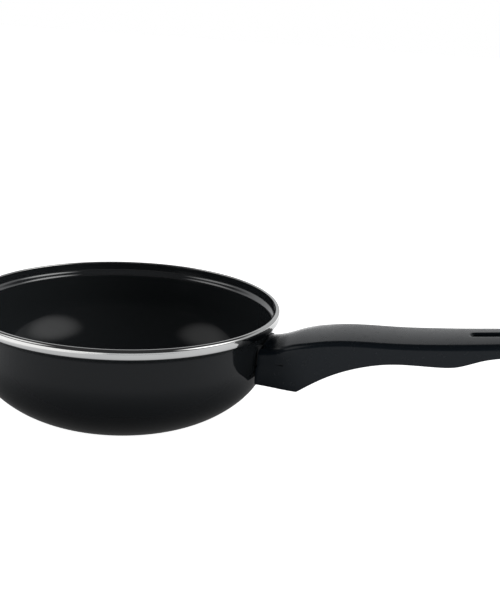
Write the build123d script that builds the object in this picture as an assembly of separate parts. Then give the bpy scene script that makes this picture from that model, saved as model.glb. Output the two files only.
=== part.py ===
from build123d import *
import math
import os

# A small black enamelled steel pan for melting wax, with a stainless steel trim
# rolled over its rim and one moulded phenolic handle.  Millimetres.
# The pan's axis is Z and its base stands on Z = 0.  The handle points along +X.

# ---- Pan body: outside of the wall, from the flat base up to the rim ----
base_radius = 39.5
base_arc = 18.0             # small arc that leaves the flat base
lower_arc = 50.7            # wide curve of the lower wall
upper_arc = 34.0            # turn into the upright wall
base_turn = 16.0            # slope in degrees where the base arc ends
lower_turn = 45.6           # slope where the lower arc ends
wall_turn = 87.5            # slope of the upright wall
wall_thickness = 1.2        # steel with enamel on both faces

# ---- Rim: the pan's lip, and the trim rolled over it ----
rim_height = 56.0           # top of the trim, the height of the whole pan
rim_radius = 80.0           # outside of the trim
trim_height = 4.7
trim_width = 2.4
trim_sheet = 0.6            # stainless sheet
trim_top_arc = 1.5
trim_bottom_arc = 0.7
trim_inner_arc = 0.5
trim_inner_leg = 0.9        # how far the trim turns down inside the pan
seat_depth = 4.1            # upright part of the lip inside, below the top
seat_drop = 3.6             # height of the rounded shoulder below it

# ---- Handle: stations along X, each with half width, height of the top edge, and crown ----
handle_sections = [
    (72.0, 13.6, 44.0, 3.2),
    (84.0, 15.2, 46.0, 3.0),
    (92.0, 17.0, 49.6, 2.2),
    (100.0, 17.8, 52.2, 1.6),
    (110.0, 17.2, 54.6, 1.2),
    (122.0, 16.6, 56.3, 1.1),
    (140.0, 16.3, 57.8, 1.1),
    (158.0, 16.1, 59.9, 1.1),
    (176.0, 15.6, 62.5, 1.1),
    (190.0, 15.0, 64.7, 1.1),
    (200.0, 14.4, 66.1, 1.1),
    (214.0, 14.4, 67.8, 1.1),
]
handle_start = 60.0         # inside the pan, before the front is cut to the wall
handle_floor = 20.0         # below everything, before the underside is cut
handle_sky = 90.0           # above everything
handle_side = 20.0          # outside the widest section
handle_end = 213.0
handle_end_radius = 14.4
front_gap = 0.5             # handle to wall, near the rim
lower_reach = 0.8           # how much further in the front face stands lower down
reach_low = 34.5            # the front face steps out between these two heights
reach_high = 37.5
guard_front = 26.5          # height of the underside at the wall
guard_corner_x = 97.5
guard_corner = 28.0
underside = [
    (104.0, 32.8),
    (116.0, 40),
    (128.0, 45),
    (140.0, 48.2),
    (152.0, 49.6),
    (163.0, 50.4),
    (170.0, 51.5),
    (182.0, 56.4),
    (192.0, 59.1),
    (214.0, 62.9),
]
edge_round = 2.4

# ---- Hanging slot in the handle's end ----
slot_start = 174.5
slot_width = 5.0
slot_end = handle_end - handle_end_radius + slot_width / 2

# ---- Bracket welded to the wall, which the handle sits on ----
plate_low = 36.8
plate_high = 46.0
plate_half_width = 12.0
plate_thickness = 1.3
tongue_half_width = 7.0
tongue_low = 37.5
tongue_high = 44.6
tongue_end = 98.0
tongue_sheet = 1.5
weld_gap = 0.3              # channel to wall, filled by the weld
pocket_gap = 0.3

# ---- Fixing screw, M4, from the underside of the guard ----
screw_x = 89.0
screw_radius = 1.95
nut_bore = 2.0
nut_across = 7.0
nut_height = 3.2
clear_radius = 2.25
head_radius = 3.9
head_height = 2.6
head_round = 1.0
tip_chamfer = 0.5
cross_span = 4.4            # cross recess in the head
cross_width = 0.9
cross_depth = 1.2
head_seat = 33.6            # roof of the counterbore
counterbore_radius = 5.2
washer_radius = 4.5
washer_thickness = 0.8
spring_radius = 3.7
spring_thickness = 1.0
spring_split = 0.6
screw_top = 43.6
past = 1.0                  # how far a cut runs past the face that it opens


def turned(radius, start, end):
    """Step outwards and upwards of an arc between two slopes, in degrees."""
    a = math.radians(start)
    b = math.radians(end)
    return radius * (math.sin(b) - math.sin(a)), radius * (math.cos(a) - math.cos(b))


def wall_point(slope):
    """Point on the outside of the wall where its slope has the given value."""
    r, z = base_radius, 0.0
    for arc, start, end in (
        (base_arc, 0.0, base_turn),
        (lower_arc, base_turn, lower_turn),
        (upper_arc, lower_turn, wall_turn),
    ):
        if slope <= start:
            break
        dr, dz = turned(arc, start, min(slope, end))
        r += dr
        z += dz
    return r, z


def wall_radius(z):
    """Outside radius of the upright wall at a height above the upper arc."""
    r, top = wall_point(wall_turn)
    return r + (z - top) / math.tan(math.radians(wall_turn))


def inward(point, slope, distance):
    """Point moved square to the wall, towards the inside of the pan."""
    a = math.radians(slope)
    return point[0] - distance * math.sin(a), point[1] + distance * math.cos(a)


def shoulder_curve(start, end):
    """Upright at both ends, with a soft step between the two radii."""
    middle = (start[1] + end[1]) / 2
    return Bezier(start, (start[0], middle), (end[0], middle), end)


def round_ring(part, radius, height, size):
    """Round the circular edge of that radius and height."""
    rings = part.edges().filter_by(GeomType.CIRCLE)
    ring = rings.filter_by(
        lambda e: abs(e.radius - radius) < 0.01 and abs(e.center().Z - height) < 0.01
    )
    fillet(ring, size)


def pan_body():
    """Pressed steel bowl with a lip: one closed profile turned about the axis."""
    turns = (0.0, base_turn, lower_turn, wall_turn)
    middles = (base_turn / 2, (base_turn + lower_turn) / 2, (lower_turn + wall_turn) / 2)
    outer = [wall_point(t) for t in turns]
    outer_middle = [wall_point(t) for t in middles]
    inner = [inward(p, t, wall_thickness) for p, t in zip(outer, turns)]
    inner_middle = [inward(p, t, wall_thickness) for p, t in zip(outer_middle, middles)]
    lip_low = rim_height - trim_height + trim_sheet
    lip_top = rim_height - trim_sheet
    lip_out = rim_radius - trim_sheet
    lip_in = rim_radius - trim_width + trim_sheet
    seat_low = rim_height - seat_depth
    seat_in = rim_radius - trim_width
    seat_out = seat_in + wall_thickness
    step = rim_height - trim_inner_leg
    with BuildPart() as part:
        with BuildSketch(Plane.XZ):
            with BuildLine():
                Line((0, 0), outer[0])
                for i in range(3):
                    ThreePointArc(outer[i], outer_middle[i], outer[i + 1])
                flare = (wall_radius(lip_low - seat_drop), lip_low - seat_drop)
                Line(outer[3], flare)
                shoulder_curve(flare, (seat_out, lip_low))
                Polyline(
                    (seat_out, lip_low),
                    (lip_out, lip_low),
                    (lip_out, lip_top),
                    (lip_in, lip_top),
                    (lip_in, step),
                    (seat_in, step),
                    (seat_in, seat_low),
                )
                shoulder = seat_low - seat_drop
                wall_in = wall_radius(shoulder) - wall_thickness
                shoulder_curve((seat_in, seat_low), (wall_in, shoulder))
                Line((wall_in, shoulder), inner[3])
                for i in (2, 1, 0):
                    ThreePointArc(inner[i + 1], inner_middle[i], inner[i])
                Polyline(inner[0], (0, wall_thickness), (0, 0))
            make_face()
        revolve(axis=Axis.Z)
        round_ring(part, lip_out, lip_top, trim_top_arc - trim_sheet)
        round_ring(part, lip_out, lip_low, trim_bottom_arc - trim_sheet)
    return part.part


def rim_trim():
    """Stainless strip rolled over the lip: down the outside, a hook inside."""
    low = rim_height - trim_height
    inner = rim_radius - trim_width
    under = rim_radius - trim_width + trim_sheet
    step = rim_height - trim_inner_leg
    roll_in = inner + wall_thickness + 0.15
    with BuildPart() as part:
        with BuildSketch(Plane.XZ):
            with BuildLine():
                Polyline(
                    (roll_in, low),
                    (rim_radius, low),
                    (rim_radius, rim_height),
                    (inner, rim_height),
                    (inner, step),
                    (under, step),
                    (under, rim_height - trim_sheet),
                    (rim_radius - trim_sheet, rim_height - trim_sheet),
                    (rim_radius - trim_sheet, low + trim_sheet),
                    (roll_in, low + trim_sheet),
                    close=True,
                )
            make_face()
        revolve(axis=Axis.Z)
        round_ring(part, rim_radius, rim_height, trim_top_arc)
        round_ring(part, inner, rim_height, trim_inner_arc)
        round_ring(part, rim_radius, low, trim_bottom_arc)
    return part.part


def handle_section(x, half, edge, crown):
    """One upright cross-section: flat floor, flat sides and a crowned top."""
    with BuildSketch(Plane((x, 0, 0), x_dir=(0, 1, 0), z_dir=(1, 0, 0))) as sketch:
        with BuildLine():
            Line((-half, edge), (-half, handle_floor))
            Line((-half, handle_floor), (half, handle_floor))
            Line((half, handle_floor), (half, edge))
            ThreePointArc((half, edge), (0, edge + crown), (-half, edge))
        make_face()
        fillet(sketch.vertices().group_by(Axis.Z)[-1], edge_round)
    return sketch.sketch


def above_underside():
    """Everything above the handle's underside, wider than the handle."""
    last_x, last_z = underside[-1]
    with BuildPart() as part:
        with BuildSketch(Plane.XZ):
            with BuildLine():
                Line((handle_start, guard_front), (guard_corner_x, guard_corner))
                Spline((guard_corner_x, guard_corner), *underside)
                Polyline(
                    (last_x, last_z),
                    (last_x, handle_sky),
                    (handle_start, handle_sky),
                    (handle_start, guard_front),
                )
            make_face()
        extrude(amount=handle_side, both=True)
    return part.part


def round_end():
    """Everything behind the handle's round end, seen from above."""
    centre = handle_end - handle_end_radius
    length = centre - handle_start
    middle = handle_sky / 2
    block = Pos(centre - length / 2, 0, middle) * Box(length, 2 * handle_side, handle_sky)
    cap = Pos(centre, 0, middle) * Cylinder(handle_end_radius, handle_sky)
    return block + cap


def pan_clearance():
    """Space kept free around the pan: upright near the rim, closer lower down."""
    upper = wall_radius(rim_height - trim_height) + front_gap
    lower = upper - lower_reach
    with BuildPart() as part:
        with BuildSketch(Plane.XZ):
            with BuildLine():
                Polyline(
                    (0, 0),
                    (lower, 0),
                    (lower, reach_low),
                    (upper, reach_high),
                    (upper, handle_sky),
                    (0, handle_sky),
                    close=True,
                )
            make_face()
        revolve(axis=Axis.Z)
    return part.part


def upright_hole(x, radius, low, high):
    """Round hole along Z."""
    return Pos(x, 0, (low + high) / 2) * Cylinder(radius, high - low)


def slot_cut():
    """Long hole with round ends through the end of the handle."""
    length = slot_end - slot_start
    middle = (slot_start + slot_end) / 2
    with BuildPart() as part:
        with BuildSketch(Plane.XY.offset(handle_floor)):
            with Locations((middle, 0)):
                SlotOverall(length, slot_width)
        extrude(amount=handle_sky - handle_floor)
    return part.part


def handle_grip():
    """Phenolic moulding with a pocket in front, a screw hole and a hanging slot."""
    body = loft([handle_section(*row) for row in handle_sections])
    body = body & above_underside()
    body = body & round_end()
    body = body - pan_clearance()
    pocket_low = tongue_low
    pocket_high = tongue_high + pocket_gap
    pocket_end = tongue_end + pocket_gap
    pocket_length = pocket_end - handle_start
    pocket = Pos(handle_start + pocket_length / 2, 0, (pocket_low + pocket_high) / 2) * Box(
        pocket_length,
        2 * (tongue_half_width + pocket_gap),
        pocket_high - pocket_low,
    )
    plate_out = wall_radius(plate_high) + plate_thickness + pocket_gap
    recess_height = plate_high - plate_low + 2 * pocket_gap
    recess = Pos(0, 0, plate_low - pocket_gap + recess_height / 2) * Cylinder(
        plate_out, recess_height
    )
    recess = recess & (
        Pos(plate_out, 0, handle_sky / 2)
        * Box(2 * handle_side, 2 * (plate_half_width + pocket_gap), handle_sky)
    )
    body = body - pocket - recess
    body = body - upright_hole(screw_x, counterbore_radius, handle_floor, head_seat)
    body = body - upright_hole(screw_x, clear_radius, head_seat - past, tongue_low + past)
    return body - slot_cut()


def handle_bracket():
    """Stamped bracket: a plate that follows the wall and an open channel."""
    inner_low = wall_radius(plate_low)
    inner_high = wall_radius(plate_high)
    with BuildPart() as plate:
        with BuildSketch(Plane.XZ):
            with BuildLine():
                Polyline(
                    (inner_low, plate_low),
                    (inner_low + plate_thickness, plate_low),
                    (inner_high + plate_thickness, plate_high),
                    (inner_high, plate_high),
                    close=True,
                )
            make_face()
        revolve(axis=Axis.Z)
    window = Pos(inner_high, 0, plate_high) * Box(
        2 * handle_side, 2 * plate_half_width, handle_sky
    )
    start = wall_radius(tongue_high) + weld_gap
    length = tongue_end - start
    height = tongue_high - tongue_low
    channel = Pos(start + length / 2, 0, tongue_low + height / 2) * Box(
        length, 2 * tongue_half_width, height
    )
    hollow = Pos(start + length / 2 + past, 0, tongue_low + tongue_sheet + height / 2) * Box(
        length + 4 * past, 2 * (tongue_half_width - tongue_sheet), height
    )
    bracket = (plate.part & window) + (channel - hollow)
    floor = tongue_low + tongue_sheet
    return bracket - upright_hole(screw_x, clear_radius, tongue_low - past, floor + past)


def bracket_nut():
    """Square weld nut on the channel's floor."""
    low = tongue_low + tongue_sheet
    block = Pos(screw_x, 0, low + nut_height / 2) * Box(nut_across, nut_across, nut_height)
    return block - upright_hole(screw_x, nut_bore, low - past, low + nut_height + past)


def flat_washer():
    """Plain washer against the roof of the counterbore."""
    low = head_seat - washer_thickness
    ring = upright_hole(screw_x, washer_radius, low, head_seat)
    return ring - upright_hole(screw_x, clear_radius, low - past, head_seat + past)


def spring_washer():
    """Split lock washer between the screw's head and the plain washer."""
    high = head_seat - washer_thickness
    low = high - spring_thickness
    ring = upright_hole(screw_x, spring_radius, low, high)
    ring = ring - upright_hole(screw_x, clear_radius, low - past, high + past)
    return ring - Pos(screw_x + spring_radius, 0, low) * Box(
        2 * spring_radius, spring_split, 4 * spring_thickness
    )


def handle_screw():
    """Pan-head screw with a cross recess, head down in the counterbore."""
    high = head_seat - washer_thickness - spring_thickness
    low = high - head_height
    head = upright_hole(screw_x, head_radius, low, high)
    head = fillet(head.edges().filter_by(GeomType.CIRCLE).sort_by(Axis.Z)[:1], head_round)
    shank = upright_hole(screw_x, screw_radius, high, screw_top)
    shank = chamfer(shank.edges().filter_by(GeomType.CIRCLE).sort_by(Axis.Z)[-1:], tip_chamfer)
    cross = Pos(screw_x, 0, low) * (
        Box(cross_span, cross_width, 2 * cross_depth)
        + Box(cross_width, cross_span, 2 * cross_depth)
    )
    return head + shank - cross


def save(shape, name):
    """Write one sub-part, named after its node."""
    shape.label = name
    export_step(shape, os.path.join("parts", name + ".step"))


os.makedirs("parts", exist_ok=True)
save(pan_body(), "pan_body")
save(rim_trim(), "rim_trim")
save(handle_bracket(), "handle_bracket")
save(bracket_nut(), "bracket_nut")
save(handle_grip(), "handle_grip")
save(handle_screw(), "handle_screw")
save(flat_washer(), "flat_washer")
save(spring_washer(), "spring_washer")
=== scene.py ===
import math

import bmesh
import bpy
import numpy as np
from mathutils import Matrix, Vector


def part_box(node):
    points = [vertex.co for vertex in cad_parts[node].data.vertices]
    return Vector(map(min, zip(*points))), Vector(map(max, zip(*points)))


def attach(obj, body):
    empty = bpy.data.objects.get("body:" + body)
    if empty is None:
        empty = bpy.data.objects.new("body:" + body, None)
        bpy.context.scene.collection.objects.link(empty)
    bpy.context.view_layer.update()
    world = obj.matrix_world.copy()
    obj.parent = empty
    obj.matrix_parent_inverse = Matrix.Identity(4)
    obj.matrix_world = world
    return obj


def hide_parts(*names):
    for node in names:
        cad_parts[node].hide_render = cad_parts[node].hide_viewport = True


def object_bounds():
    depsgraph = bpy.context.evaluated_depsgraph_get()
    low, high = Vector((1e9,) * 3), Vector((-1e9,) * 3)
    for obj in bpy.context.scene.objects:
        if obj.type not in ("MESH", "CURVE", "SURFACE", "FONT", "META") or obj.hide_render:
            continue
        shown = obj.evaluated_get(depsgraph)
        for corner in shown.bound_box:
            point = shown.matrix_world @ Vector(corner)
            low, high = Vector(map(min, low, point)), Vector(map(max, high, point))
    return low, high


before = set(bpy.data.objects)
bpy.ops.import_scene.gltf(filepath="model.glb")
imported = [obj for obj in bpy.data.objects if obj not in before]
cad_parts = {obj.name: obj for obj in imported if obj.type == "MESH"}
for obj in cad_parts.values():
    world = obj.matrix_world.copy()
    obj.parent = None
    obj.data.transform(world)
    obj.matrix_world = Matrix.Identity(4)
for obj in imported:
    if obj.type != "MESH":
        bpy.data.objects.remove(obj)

MM = 0.001
cad_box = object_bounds()
trim_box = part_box("rim_trim")
rim_top = trim_box[1].z
rim_radius = trim_box[1].x


# ---- Camera -------------------------------------------------------------------------------
# A short telephoto close above the rim, turned so that the handle comes a little towards it,
# and tipped slightly: the picture's upright leans by the roll.
camera_azimuth = math.radians(16.5)
camera_elevation = math.radians(16.1)
camera_roll = math.radians(3.34)
rim_left_of_axis = 64.2 * MM
rim_above_axis = 0.3 * MM
rim_distance = 511.6 * MM

level_right = Vector((math.cos(camera_azimuth), math.sin(camera_azimuth), 0))
level_ahead = Vector((-math.sin(camera_azimuth), math.cos(camera_azimuth), 0))
level_up = level_ahead * math.sin(camera_elevation) + Vector((0, 0, math.cos(camera_elevation)))
camera_ahead = level_ahead * math.cos(camera_elevation) - Vector((0, 0, math.sin(camera_elevation)))
camera_right = level_right * math.cos(camera_roll) + level_up * math.sin(camera_roll)
camera_up = level_up * math.cos(camera_roll) - level_right * math.sin(camera_roll)

camera_data = bpy.data.cameras.new("camera")
camera_data.lens = 60
camera_data.sensor_width = 36
camera_data.clip_start = 0.01
camera = bpy.data.objects.new("camera", camera_data)
camera.location = (
    Vector((0, 0, rim_top))
    + camera_right * rim_left_of_axis
    - camera_up * rim_above_axis
    - camera_ahead * rim_distance
)
turn = bpy.data.objects.new("camera_turn", None).matrix_world.to_3x3()
turn.col[0] = camera_right
turn.col[1] = camera_up
turn.col[2] = -camera_ahead
camera.rotation_euler = turn.to_euler()
bpy.context.scene.collection.objects.link(camera)
bpy.context.scene.camera = camera
bpy.context.scene.view_settings.view_transform = "Standard"


# ---- Studio -------------------------------------------------------------------------------
# A white table that runs into a white backdrop, a dim room before it, and a soft round lamp
# high on each side.  The shader class below serves every material in this file.
class Shade:
    """One socket of a node tree.  Operators on it add Math nodes."""

    def __init__(self, tree, socket=None):
        self.tree = tree
        self.socket = socket

    def add(self, kind, settings=None, sockets=None, out=0):
        """Adds a node to the tree: settings first, then the values or links of its sockets.

        This socket is linked only where sockets names it."""
        node = self.tree.nodes.new(kind)
        for name, value in (settings or {}).items():
            setattr(node, name, value)
        for name, value in (sockets or {}).items():
            if isinstance(value, Shade):
                self.tree.links.new(value.socket, node.inputs[name])
            else:
                node.inputs[name].default_value = value
        return Shade(self.tree, node.outputs[out])

    def math(self, operation, *values):
        """A Math node on this socket and up to two more sockets or numbers."""
        return self.add(
            "ShaderNodeMath",
            {"operation": operation},
            dict(enumerate((self, *values))),
        )

    def __add__(self, other):
        return self.math("ADD", other)

    def __radd__(self, other):
        return self.math("ADD", other)

    def __sub__(self, other):
        return self.math("SUBTRACT", other)

    def __rsub__(self, other):
        return self.math("MULTIPLY_ADD", -1.0, other)

    def __mul__(self, other):
        return self.math("MULTIPLY", other)

    def __rmul__(self, other):
        return self.math("MULTIPLY", other)

    def step(self, low, high):
        """0 below low, 1 above high, and smooth between them."""
        return self.add(
            "ShaderNodeMapRange",
            {"interpolation_type": "SMOOTHSTEP"},
            {"Value": self, "From Min": low, "From Max": high},
        )

    def parts(self):
        """The three numbers of a vector socket."""
        split = self.add("ShaderNodeSeparateXYZ", None, {"Vector": self}).socket.node
        return [Shade(self.tree, split.outputs[axis]) for axis in "XYZ"]

    def dot(self, direction):
        """How far this vector reaches along a direction."""
        return self.add(
            "ShaderNodeVectorMath", {"operation": "DOT_PRODUCT"}, {0: self, 1: direction}, out=1
        )

    def noise(self, scale, detail, rough=0.5):
        """Noise of that many waves per metre, read at this vector."""
        return self.add(
            "ShaderNodeTexNoise",
            None,
            {"Vector": self, "Scale": scale, "Detail": detail, "Roughness": rough},
        )

    def blend(self, first, second):
        """Colour that goes from the first to the second as this mask goes from 0 to 1."""
        return self.add(
            "ShaderNodeMix",
            {"data_type": "RGBA"},
            {"Factor": self, 6: first, 7: second},
            out=2,
        )


def new_material(name, **constants):
    """A material with one Principled shader, its constants set, and its shading position."""
    material = bpy.data.materials.new(name)
    material.use_nodes = True
    shader = material.node_tree.nodes["Principled BSDF"]
    for socket, value in constants.items():
        shader.inputs[socket.replace("_", " ")].default_value = value
    place = Shade(material.node_tree).add("ShaderNodeTexCoord", out=3)
    return material, shader, place


def feed(shader, **links):
    """Links sockets of the shader, named with underscores for spaces."""
    for socket, value in links.items():
        value.tree.links.new(value.socket, shader.inputs[socket.replace("_", " ")])


glow_core = 3               # degrees round a lamp's middle that have its full light
lamps = (                   # sideways, ahead, up, degrees to the lamp's edge, light
    (-0.86, -0.20, 0.62, 24, 1.6),
    (0.88, -0.18, 0.62, 26, 3.0),
)
wall_low = (0.58, 0.59, 0.60, 1)
wall_high = (0.68, 0.69, 0.70, 1)
unlit = (0.055, 0.055, 0.057, 1)
white = (1, 1, 1, 1)


def glow(direction, sideways, ahead, up, reach):
    """A soft round lamp in the surround: 1 at its middle, 0 from that many degrees off it."""
    middle = (level_right * sideways + level_ahead * ahead + Vector((0, 0, up))).normalized()
    return direction.dot(middle).step(math.cos(math.radians(reach)), math.cos(math.radians(glow_core)))


world = bpy.data.worlds.new("studio")
bpy.context.scene.world = world
world.use_nodes = True
sky = world.node_tree.nodes["Background"]
surround = Shade(world.node_tree).add("ShaderNodeTexCoord", out=0)
height = surround.parts()[2]        # the sine of the angle above the table
ceiling = height.step(0.46, 0.70)
room_behind = height.step(0.01, 0.12) * (1 - surround.dot(level_ahead).step(-0.35, 0.25))
walls = height.step(0.0, 0.22).blend(wall_low, wall_high)
dim = 1 - (1 - ceiling) * (1 - room_behind)
surround_light = dim.blend(walls, unlit)
for *direction, reach, light in lamps:
    lamp = glow(surround, *direction, reach)
    surround_light = lamp.blend(surround_light, (light, light, light, 1))
seen = surround.add("ShaderNodeLightPath", out=0)
feed(sky, Color=seen.blend(surround_light, white))
sky.inputs["Strength"].default_value = 1.0

# The camera sees a plain white table.  The pan sees the same table darker close by, where it
# shades it, and brighter far ahead and to the left.
floor_reach = 6.0
floor_gap = 0.05            # keeps the table clear of the base
table_shaded = (0.10, 0.10, 0.10, 1)
table_lit = (0.60, 0.60, 0.60, 1)
table_grain = (0.62, 0.62, 0.62, 1)
light_near = (0.69, 0.70, 0.72, 1)
light_far = (1.45, 1.45, 1.45, 1)
floor_mesh = bpy.data.meshes.new("floor")
build = bmesh.new()
bmesh.ops.create_grid(build, x_segments=24, y_segments=24, size=floor_reach)
build.to_mesh(floor_mesh)
build.free()
floor = bpy.data.objects.new("floor", floor_mesh)
floor.location.z = cad_box[0].z - floor_gap * MM
bpy.context.scene.collection.objects.link(floor)
material, shader, place = new_material("white_table", Roughness=0.6, Emission_Strength=1.0)
x, y, _ = place.parts()
away = place.dot(level_ahead).step(-0.1, 0.6)
leftwards = 1 - place.dot(level_right).step(-0.30, -0.10)
from_pan = (x * x + y * y).math("POWER", 0.5).step(0.07, 0.16)
grain = place.noise(9.0, 3.0)
side_light = (away + leftwards).step(0, 1).blend(light_near, light_far)
seen = place.add("ShaderNodeLightPath", out=0)
feed(
    shader,
    Base_Color=seen.blend(
        from_pan.blend(table_shaded, table_lit),
        grain.blend(table_lit, table_grain),
    ),
    Emission_Color=seen.blend(from_pan.blend(table_shaded, side_light), white),
)
floor_mesh.materials.append(material)


# ---- Pan body -----------------------------------------------------------------------------
# One bowl drawn from steel sheet, its lip stepped out to take the trim, then coated inside and
# out with black vitreous enamel and fired, which leaves a deep and smooth gloss.
turns = 320                 # steps round the pan
base_radius = 39.5
wall_arcs = ((18.0, 0.0, 16.0), (50.7, 16.0, 45.6), (34.0, 45.6, 87.5))
arc_steps = 16
sheet = 1.2                 # steel with its enamel
lip_height = 4.7            # the trim covers this much of the lip
trim_sheet = 0.6
trim_width = 2.4
inner_leg = 0.9             # the trim's hook down inside the lip
lip_round = 0.55
seat_depth = 4.1
shoulder_height = 3.6
rim_mm = rim_top / MM
rim_radius_mm = rim_radius / MM


def wall_line(depth):
    """Points of the wall from the flat base to the upright part, that deep inside its outside."""
    r, z = base_radius, 0.0
    line = []
    for radius, start, end in wall_arcs:
        first = math.radians(start)
        for i in range(arc_steps + 1):
            slope = math.radians(start + (end - start) * i / arc_steps)
            out_r = r + radius * (math.sin(slope) - math.sin(first))
            out_z = z + radius * (math.cos(first) - math.cos(slope))
            if i or not line:
                line.append((out_r - depth * math.sin(slope), out_z + depth * math.cos(slope)))
        r, z = out_r, out_z
    return line


wall_top_r, wall_top_z = wall_line(0)[-1]
wall_lean = 1 / math.tan(math.radians(wall_arcs[-1][2]))


def wall_radius(z):
    """Outside radius of the upright part of the wall at a height."""
    return wall_top_r + (z - wall_top_z) * wall_lean


def soft_step(start, end, steps=14):
    """Points of a step between two radii, upright at both ends."""
    middle = (start[1] + end[1]) / 2
    line = []
    for i in range(steps + 1):
        t = i / steps
        near = (1 - t) ** 3 + 3 * t * (1 - t) ** 2
        r = near * start[0] + (1 - near) * end[0]
        z = (1 - t) ** 3 * start[1] + 3 * t * (1 - t) * middle + t**3 * end[1]
        line.append((r, z))
    return line


def corner(r, z, radius, start, end, steps=6):
    """Points of an arc about a centre, between two angles in degrees."""
    angles = [math.radians(start + (end - start) * i / steps) for i in range(steps + 1)]
    return [(r + radius * math.cos(a), z + radius * math.sin(a)) for a in angles]


def turned(profile, closed=False):
    """A profile of radii and heights turned about the pan's axis."""
    build = bmesh.new()
    rings = []
    for r, z in profile:
        count = turns if r else 1
        angles = [2 * math.pi * i / turns for i in range(count)]
        rings.append(
            [build.verts.new((r * MM * math.cos(a), r * MM * math.sin(a), z * MM)) for a in angles]
        )
    for low, high in zip(rings, rings[1:] + rings[:1] * closed):
        for i in range(turns):
            quad = [low[i % len(low)], low[(i + 1) % len(low)]]
            quad += [high[(i + 1) % len(high)], high[i % len(high)]]
            build.faces.new(list(dict.fromkeys(quad)))
    return build


def piece_from(build, name, slot, *nodes, sharp=38):
    """Turns a mesh under construction into a finished piece on the pan's one body."""
    bmesh.ops.remove_doubles(build, verts=build.verts, dist=0.0005 * MM)
    bmesh.ops.recalc_face_normals(build, faces=build.faces)
    mesh = bpy.data.meshes.new(name)
    build.to_mesh(mesh)
    build.free()
    mesh.shade_smooth()
    mesh.set_sharp_from_angle(angle=math.radians(sharp))
    piece = bpy.data.objects.new(name, mesh)
    bpy.context.scene.collection.objects.link(piece)
    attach(piece, "root")
    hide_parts(*nodes)
    return piece


lip_low = rim_mm - lip_height + trim_sheet
lip_top = rim_mm - trim_sheet
lip_out = rim_radius_mm - trim_sheet
seat_in = rim_radius_mm - trim_width
seat_low = rim_mm - seat_depth
flare = lip_low - shoulder_height
shoulder = seat_low - shoulder_height
inside_step = rim_mm - inner_leg
flat_rings = (0.0, 12.0, 24.0, 34.0)
pan_profile = [(r, 0.0) for r in flat_rings] + wall_line(0)
pan_profile += soft_step((wall_radius(flare), flare), (seat_in + sheet, lip_low))
pan_profile += [(lip_out, lip_low), (lip_out, lip_top - lip_round)]
pan_profile += corner(lip_out - lip_round, lip_top - lip_round, lip_round, 15, 90)
pan_profile += [(seat_in + trim_sheet, lip_top), (seat_in + trim_sheet, inside_step)]
pan_profile += [(seat_in, inside_step)]
pan_profile += soft_step((seat_in, seat_low), (wall_radius(shoulder) - sheet, shoulder))
pan_profile += wall_line(sheet)[::-1] + [(r, sheet) for r in flat_rings[::-1]]
pan = piece_from(turned(pan_profile), "enamelled_pan", "black_enamel", "pan_body")

# The inside is painted a little lighter than the outside, as painted light in the shaded bowl:
# one enamel coats both.  The shoulder under the rim has a stronger coat.  Both indices are given
# here: fired enamel's own is about 1.5.
outside_black = (0.0090, 0.0104, 0.0116, 1)
inside_black_painted_lighter = (0.026, 0.0292, 0.0315, 1)
worn_grey = (0.02, 0.02, 0.02, 1)
black_enamel, shader, place = new_material("black_enamel", IOR=1.27, Coat_IOR=1.8, Coat_Roughness=0.05)
x, y, z = place.parts()
specks = place.noise(1300.0, 0.0).step(0.76, 0.80)
cloud = place.noise(26.0, 4.0)
worn_base = 1 - z.step(0.2 * MM, 1.2 * MM)
face_x, face_y, _ = place.add("ShaderNodeTexCoord", out=1).parts()
inside = 1 - (x * face_x + y * face_y).step(-20 * MM, -5 * MM)
above_bowl = z.step((shoulder - 1) * MM, (shoulder + 0.5) * MM)
below_seat = 1 - z.step((seat_low + 0.5) * MM, (seat_low + 2) * MM)
scuffs = place.noise(420.0, 6.0, 0.7).step(0.50, 0.62)
# The inside's lighter black is painted light over the shaded bowl; the outside keeps the enamel's own
# black.
enamel = inside.blend(outside_black, inside_black_painted_lighter)
feed(
    shader,
    Base_Color=(worn_base * scuffs * 0.6).blend(enamel, worn_grey),
    Roughness=cloud * 0.06 + specks * 0.10 + worn_base * scuffs * 0.4 + 0.03,
    Coat_Weight=inside * above_bowl * below_seat,
)
pan.data.materials.append(black_enamel)


# ---- Rim trim -----------------------------------------------------------------------------
# A polished stainless strip rolled over the lip: a rounded top, an upright outside face with
# its lower edge turned in, and a short hook inside the pan.
top_round = 1.5
inner_round = 0.5
low_round = 0.7
face_bulge = 0.15           # the rolled face stands out a little along its middle
face_steps = 8
roll_gap = 0.15             # turned-in lower edge to the wall
strip_low = rim_mm - lip_height
roll_in = seat_in + sheet + roll_gap
trim_profile = [(roll_in, strip_low)]
face_low = strip_low + low_round
face_high = rim_mm - top_round
edge_radius = rim_radius_mm - face_bulge
trim_profile += corner(edge_radius - low_round, face_low, low_round, -90, -12)
for i in range(face_steps + 1):
    share = i / face_steps
    bulge = face_bulge * (1 - (2 * share - 1) ** 2)
    trim_profile.append((edge_radius + bulge, face_low + share * (face_high - face_low)))
trim_profile += corner(edge_radius - top_round, face_high, top_round, 10, 90, 10)
trim_profile += corner(seat_in + inner_round, rim_mm - inner_round, inner_round, 90, 180, 8)
trim_profile += [(seat_in, inside_step), (seat_in + trim_sheet, inside_step)]
trim_profile += [(seat_in + trim_sheet, lip_top), (lip_out, lip_top), (lip_out, lip_low)]
trim_profile += [(roll_in, lip_low)]
trim = piece_from(turned(trim_profile, closed=True), "steel_rim_trim", "stainless_trim", "rim_trim")

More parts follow.
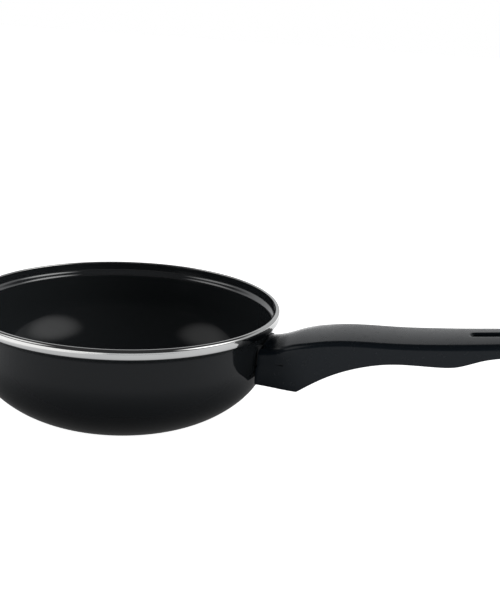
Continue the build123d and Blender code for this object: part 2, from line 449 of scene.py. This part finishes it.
stainless, shader, place = new_material("polished_stainless", Metallic=1.0)
x, y, z = place.parts()
round_the_pan = y.math("ARCTAN2", x)
from_axis = (x * x + y * y).math("POWER", 0.5)
drawn = place.add(
    "ShaderNodeCombineXYZ", None, {"X": round_the_pan * 0.004, "Y": from_axis, "Z": z}
)
lines = drawn.noise(9000.0, 3.0, 0.7)
smears = place.noise(60.0, 4.0)
feed(
    shader,
    Base_Color=smears.blend((0.46, 0.46, 0.455, 1), (0.53, 0.53, 0.52, 1)),
    Roughness=lines * 0.03 + smears * 0.04 + 0.02,
)
trim.data.materials.append(stainless)


# ---- Handle grip --------------------------------------------------------------------------
# One black phenolic moulding: a deep guard that stands against the pan, a slim neck and a
# rounded end with a hanging slot.  It slides over the bracket and one screw holds it.
grip_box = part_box("handle_grip")
grip_end = grip_box[1].x / MM
end_radius = 14.4
edge_round = 2.4
under_round = 0.6
front_round = 0.6
front_gap = 0.5
lower_reach = 0.8           # the guard's lower face stands this much nearer the axis
front_upper = wall_radius(strip_low) + front_gap
front_lower = front_upper - lower_reach
front_levels = (34.5, 37.5)                     # heights between which the face steps out
fade_end = 96.0
handle_start = 60.0         # inside the pan: the guard's floor slopes from here
guard_front = 26.5
guard_corner = (97.5, 28.0)
guard_soften = 0.12
slot_half = 2.5
slot_first = 177.0          # centre of the slot's inner round end
slot_lip = 0.7
slot_last = grip_end - end_radius
fan_start = 165.0           # from here the mesh lines turn towards the slot


def smooth_line(*knots):
    """Natural cubic spline through (x, value) knots, as a function of x."""
    xs = np.array([knot[0] for knot in knots])
    values = np.array([knot[1] for knot in knots])
    gap = np.diff(xs)
    slopes = np.diff(values) / gap
    system = np.eye(len(xs))
    pull = np.zeros(len(xs))
    for i in range(1, len(xs) - 1):
        system[i, i - 1 : i + 2] = gap[i - 1], 2 * (gap[i - 1] + gap[i]), gap[i]
        pull[i] = 6 * (slopes[i] - slopes[i - 1])
    bend = np.linalg.solve(system, pull)

    def value_at(x):
        i = int(np.clip(np.searchsorted(xs, x) - 1, 0, len(gap) - 1))
        left, right = x - xs[i], xs[i + 1] - x
        cubic = (bend[i] * right**3 + bend[i + 1] * left**3) / (6 * gap[i])
        start = values[i] / gap[i] - bend[i] * gap[i] / 6
        end = values[i + 1] / gap[i] - bend[i + 1] * gap[i] / 6
        return float(cubic + start * right + end * left)

    return value_at


half_width = smooth_line(
    (72, 13.6), (84, 15.2), (92, 17.0), (100, 17.8),
    (110, 17.2), (122, 16.6), (140, 16.3), (158, 16.1),
    (176, 15.6), (190, 15.0), (200, 14.4), (214, 14.4),
)
top_edge = smooth_line(
    (72, 44.0), (84, 46.0), (92, 49.6), (100, 52.2),
    (110, 54.6), (122, 56.3), (140, 57.8), (158, 59.9),
    (176, 62.5), (190, 64.7), (200, 66.1), (214, 67.8),
)
crown = smooth_line((72, 3.2), (84, 3.0), (92, 2.2), (100, 1.6), (110, 1.2), (140, 1.1), (214, 1.1))
under_curve = smooth_line(
    guard_corner, (104, 32.8), (116, 40), (128, 45), (140, 48.2), (152, 49.6),
    (163, 50.4), (170, 51.5), (182, 56.4), (192, 59.1), (214, 62.9),
)


def grip_top(x, y):
    """Height of the crowned top."""
    half = half_width(x)
    rise = crown(x)
    bow = (half * half + rise * rise) / (2 * rise)
    return top_edge(x) + rise - bow + math.sqrt(bow * bow - min(y * y, half * half))


def grip_under(x):
    """Height of the underside: the guard's floor, a softened corner, then the neck's curve."""
    corner_x, corner_z = guard_corner
    ahead = 0.5
    rise = (under_curve(corner_x + ahead) - corner_z) / ahead
    guard = corner_z + (x - corner_x) * (corner_z - guard_front) / (corner_x - handle_start)
    neck = under_curve(x) if x > corner_x else corner_z + (x - corner_x) * rise
    return (guard + neck) / 2 + math.hypot((guard - neck) / 2, guard_soften)


def fitted(x, y, z):
    """Moves a point near the front so that the guard's face follows the round wall."""
    low, high = front_levels
    share = min(max((z - low) / (high - low), 0), 1)
    reach = front_lower + share * (front_upper - front_lower)
    near = min(max((fade_end - x) / (fade_end - front_upper), 0), 1)
    return x + near * (math.sqrt(reach * reach - y * y) - front_upper)


def rounding(radius, steps):
    """Steps of a rounded edge, from the flat to the side: (distance in, drop)."""
    angles = [math.pi / 2 * i / steps for i in range(steps + 1)]
    return [(radius * (1 - math.sin(a)), radius * (1 - math.cos(a))) for a in angles]


def edge_inset(x):
    """How far the section draws in at the rounded front edge."""
    left = max(front_round - (x - front_upper), 0)
    return front_round - math.sqrt(front_round**2 - left**2)


top_steps = rounding(edge_round, 7)         # from here on, counts of mesh lines
under_steps = rounding(under_round, 5)
side_steps = 8


def side_points(x, plan):
    """Points from the top's inner edge line down the side to the underside's.

    plan gives the place in plan of a point that lies so far inside the outline."""
    inset = edge_inset(x)

    def at(depth, height_of, reach_z):
        px, py = plan(depth + inset)
        px = fitted(px, py, reach_z)
        return px, py, height_of(px, py)

    high = [
        at(depth, lambda u, v, drop=drop: grip_top(u, v) - drop - inset, rim_mm)
        for depth, drop in top_steps
    ]
    low = [
        at(depth, lambda u, v, drop=drop: grip_under(u) + drop + inset, 0)
        for depth, drop in under_steps
    ]
    side = []
    for i in range(1, side_steps):
        share = i / side_steps
        height = high[-1][2] + share * (low[-1][2] - high[-1][2])
        px, py = plan(inset)
        side.append((fitted(px, py, height), py, height))
    return high + side + low[::-1]


def strip(build, lines):
    """Quads between neighbouring lines of points, in millimetres."""
    rows = [[build.verts.new([c * MM for c in point]) for point in line] for line in lines]
    for first, second in zip(rows, rows[1:]):
        for i in range(len(first) - 1):
            build.faces.new((first[i], first[i + 1], second[i + 1], second[i]))


# Stations along the handle: close together at the rounded front edge and the guard's corner.
round_stations = [front_upper + front_round * (1 - math.cos(math.pi / 8 * i)) for i in range(5)]
front_stations = round_stations + [float(v) for v in np.arange(79.2, 96.0, 1.2)]
front_stations += [96.2, 96.8, 97.1, 97.3, 97.5, 97.7, 97.9, 98.2, 98.8, 99.6]
front_stations += [float(v) for v in np.linspace(100.8, fan_start, 54)]
slot_stations = [float(v) for v in np.linspace(fan_start, slot_last, 34)][1:]
columns = [math.sin(math.pi / 2 * i / 9) for i in range(-9, 10)]
cap_angles = [math.pi / 2 - math.pi * i / 40 for i in range(1, 40)]

outline = []                # (station, place in plan as a function of the inset, plan outline)
for x in front_stations + slot_stations:
    outline.append((x, lambda d, x=x: (x, half_width(x) - d)))
for a in cap_angles:
    outline.append(
        (
            slot_last,
            lambda d, a=a: (
                slot_last + (end_radius - d) * math.cos(a),
                (end_radius - d) * math.sin(a),
            ),
        )
    )
for x in slot_stations[::-1] + front_stations[::-1]:
    outline.append((x, lambda d, x=x: (x, d - half_width(x))))

grip_build = bmesh.new()
sides = [side_points(x, plan) for x, plan in outline]
strip(grip_build, sides)


def cross_line(x, height_of, depth, reach_z, sink):
    """A line of points across the top or the underside at a station."""
    inset = edge_inset(x)
    line = []
    for column in columns:
        y = column * (half_width(x) - depth - inset)
        px = fitted(x, y, reach_z)
        line.append((px, y, height_of(px, y) + sink * inset))
    return line


strip(grip_build, [cross_line(x, grip_top, edge_round, rim_mm, -1) for x in front_stations])
strip(
    grip_build,
    [cross_line(x, lambda u, v: grip_under(u), under_round, 0, 1) for x in front_stations],
)

# The guard's face: each column from the top line to the underside's, spaced as the side is.
first_x = front_stations[0]
side_first = sides[0]
top_line = cross_line(first_x, grip_top, edge_round, rim_mm, -1)
under_line = cross_line(first_x, lambda u, v: grip_under(u), under_round, 0, 1)
face = []
for column, high, low in zip(columns, top_line, under_line):
    line = []
    for point in side_first:
        share = (side_first[0][2] - point[2]) / (side_first[0][2] - side_first[-1][2])
        height = high[2] + share * (low[2] - high[2])
        y = column * point[1]
        line.append((fitted(first_x, y, height), y, height))
    face.append(line)
strip(grip_build, face)

# Round the slot: lines fan out from its lip to the outline.
fan = []
for column in columns:
    fan.append((fan_start, lambda d, c=column: (fan_start, c * (half_width(fan_start) - d))))
inner_outline = [row for row in outline if row[0] > fan_start]
fan = fan + inner_outline + [fan[0]]
lip_steps = rounding(slot_lip, 5)[::-1]
fan_rings = 12
slot_rows = 6


def fan_line(plan, height_of, sink, depth):
    """Points from the slot's lip to the inset outline."""
    out_x, out_y = plan(0)
    root_x = min(max(out_x, slot_first), slot_last)
    length = math.hypot(out_x - root_x, out_y)
    ux, uy = (out_x - root_x) / length, out_y / length
    line = []
    for inset, drop in lip_steps:
        radius = slot_half + slot_lip - inset
        px, py = root_x + ux * radius, uy * radius
        line.append((px, py, height_of(px, py) + sink * (slot_lip - drop)))
    start_x, start_y, _ = line[-1]
    end_x, end_y = plan(depth)
    for i in range(1, fan_rings + 1):
        share = i / fan_rings
        px, py = start_x + share * (end_x - start_x), start_y + share * (end_y - start_y)
        line.append((px, py, height_of(px, py)))
    return line


upper_fan = [fan_line(plan, grip_top, -1, edge_round) for _, plan in fan]
lower_fan = [fan_line(plan, lambda u, v: grip_under(u), 1, under_round) for _, plan in fan]
strip(grip_build, upper_fan)
strip(grip_build, lower_fan)
slot_wall = []
for high, low in zip(upper_fan, lower_fan):
    (px, py, high_z), low_z = high[0], low[0][2]
    slot_wall.append(
        [(px, py, high_z + i / slot_rows * (low_z - high_z)) for i in range(slot_rows + 1)]
    )
strip(grip_build, slot_wall)
grip = piece_from(grip_build, "moulded_grip", "black_phenolic", "handle_grip", sharp=42)


def block(low, high):
    """An upright box between two corners, in millimetres."""
    build = bmesh.new()
    bmesh.ops.create_cube(build, size=1)
    for vert in build.verts:
        vert.co = [(a + b) / 2 * MM + (b - a) * MM * c for a, b, c in zip(low, high, vert.co)]
    return build


drill_steps = 64


def drilled(x, *profile):
    """An upright turned plug at the screw: pairs of radius and height."""
    build = bmesh.new()
    angles = [2 * math.pi * i / drill_steps for i in range(drill_steps)]
    rings = []
    for radius, height in profile:
        ring = []
        for a in angles:
            spot = ((x + radius * math.cos(a)) * MM, radius * math.sin(a) * MM, height * MM)
            ring.append(build.verts.new(spot))
        rings.append(ring)
    for low, high in zip(rings, rings[1:]):
        for i in range(drill_steps):
            after = (i + 1) % drill_steps
            build.faces.new((low[i], low[after], high[after], high[i]))
    build.faces.new(rings[0][::-1])
    build.faces.new(rings[-1])
    return build


def cut(piece, build, sharp=42):
    """Takes a closed shape away from a piece."""
    bmesh.ops.recalc_face_normals(build, faces=build.faces)
    mesh = bpy.data.meshes.new("cutter")
    build.to_mesh(mesh)
    build.free()
    cutter = bpy.data.objects.new("cutter", mesh)
    bpy.context.scene.collection.objects.link(cutter)
    modifier = piece.modifiers.new("cut", "BOOLEAN")
    modifier.operation = "DIFFERENCE"
    modifier.solver = "EXACT"
    modifier.object = cutter
    shape = piece.evaluated_get(bpy.context.evaluated_depsgraph_get())
    result = bpy.data.meshes.new_from_object(shape)
    piece.modifiers.clear()
    piece.data = result
    bpy.data.objects.remove(cutter)
    result.shade_smooth()
    result.set_sharp_from_angle(angle=math.radians(sharp))


bracket_low, bracket_high = (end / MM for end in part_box("handle_bracket"))
screw_low, screw_high = (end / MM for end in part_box("handle_screw"))
screw_x = (screw_low.x + screw_high.x) / 2
fit_gap = 0.3
tongue_low = 37.5
tongue_high = 44.6
tongue_half = 7.0
plate_sheet = 1.3
plate_out = wall_radius(bracket_high.z) + plate_sheet + fit_gap
counterbore = 5.2
clearance = 2.25
mouth = 0.6                 # chamfer where the counterbore opens
bore_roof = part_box("flat_washer")[1].z / MM
bore_mouth = grip_under(screw_x)
spare = 1                   # how far a cutter runs past the face that it cuts
cut(
    grip,
    block(
        (handle_start, -tongue_half - fit_gap, tongue_low),
        (bracket_high.x + fit_gap, tongue_half + fit_gap, tongue_high + fit_gap),
    ),
)
cut(
    grip,
    block(
        (handle_start, bracket_low.y - fit_gap, bracket_low.z - fit_gap),
        (plate_out, bracket_high.y + fit_gap, bracket_high.z + fit_gap),
    ),
)
cut(
    grip,
    drilled(
        screw_x,
        (counterbore + mouth + spare, bore_mouth - spare),
        (counterbore, bore_mouth + mouth),
        (counterbore, bore_roof),
        (clearance, bore_roof),
        (clearance, tongue_low + spare),
    ),
)

# A short shallow mark in the near side of the guard.
dash_x, dash_z = 88.0, 40.0
dash_half_length = 2.0
dash_half_height = 0.45
dash_depth = 0.45
dash_face = -half_width(dash_x)
cut(
    grip,
    block(
        (dash_x - dash_half_length, dash_face - spare, dash_z - dash_half_height),
        (dash_x + dash_half_length, dash_face + dash_depth, dash_z + dash_half_height),
    ),
)

# The index is given here too: phenolic's own is about 1.6.
moulded_black = (0.0085, 0.0120, 0.0158, 1)
rubbed_black = (0.013, 0.016, 0.020, 1)
phenolic, shader, place = new_material("black_phenolic", IOR=1.27)
mottle = place.noise(55.0, 5.0, 0.6)
grit = place.noise(2600.0, 2.0)
rubbed = place.noise(240.0, 6.0, 0.7).step(0.52, 0.68)
feed(
    shader,
    Base_Color=(rubbed * 0.3).blend(moulded_black, rubbed_black),
    Roughness=mottle * 0.10 + rubbed * 0.08 + grit * 0.03 + 0.17,
)
grip.data.materials.append(phenolic)


# ---- Bracket and fasteners ------------------------------------------------------------------
# A stamped steel channel is spot welded to the wall and enamelled with it.  A square nut is
# welded inside, and one pan-head screw with a spring washer and a plain washer clamps the grip.
bright_zinc, shader, place = new_material("bright_zinc", Metallic=1.0)
cloud = place.noise(160.0, 4.0)
spangle = place.noise(900.0, 2.0)
brushed = place.noise(1500.0, 4.0, 0.7)
feed(
    shader,
    Base_Color=cloud.blend((0.60, 0.61, 0.60, 1), (0.50, 0.51, 0.52, 1)),
    Roughness=spangle * 0.12 + brushed * 0.10 + 0.22,
)
for node, material in (
    ("handle_bracket", black_enamel),
    ("bracket_nut", bright_zinc),
    ("handle_screw", bright_zinc),
    ("flat_washer", bright_zinc),
    ("spring_washer", bright_zinc),
):
    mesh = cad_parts[node].data
    mesh.materials.clear()
    mesh.materials.append(material)
    mesh.shade_smooth()
    mesh.set_sharp_from_angle(angle=math.radians(30))
